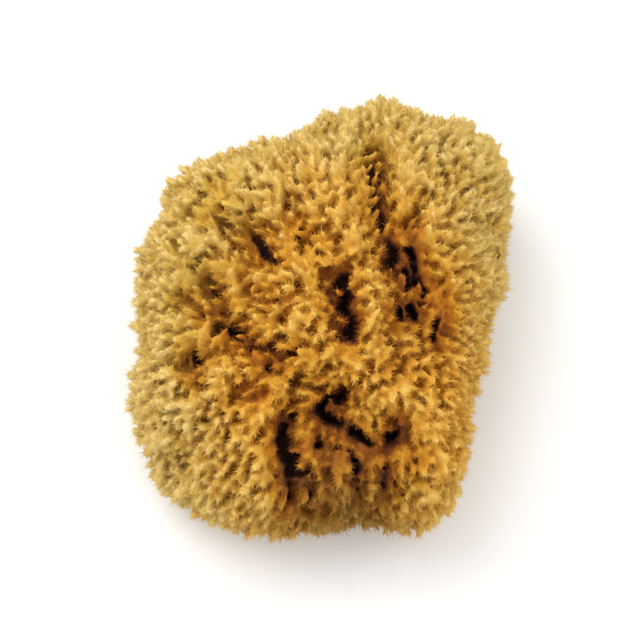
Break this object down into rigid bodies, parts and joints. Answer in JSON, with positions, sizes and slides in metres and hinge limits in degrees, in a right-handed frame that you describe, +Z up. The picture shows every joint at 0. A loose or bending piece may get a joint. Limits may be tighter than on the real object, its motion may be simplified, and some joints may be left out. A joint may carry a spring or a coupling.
{
  "type": "sea sponge",
  "caption": "Natural wool sea sponge, domed and shaggy all over, cut off flat so that it rests on a table or shelf.",
  "frame": {"origin": "under the middle of the sponge's box, on the plane of the flat cut that it rests on", "axes": "+Z up out of the cut through the dome, +Y along the sponge's longer side, away from the picture's camera"},
  "size_m": [0.1338, 0.1532, 0.0821],
  "materials": {
    "sponge_skeleton": "matt, dry, open fibrous skeleton, straw-coloured at the tips and brown in the holes"
  },
  "bodies": {
    "root": {"sponge": "sponge_skeleton"}
  },
  "joints": []
}
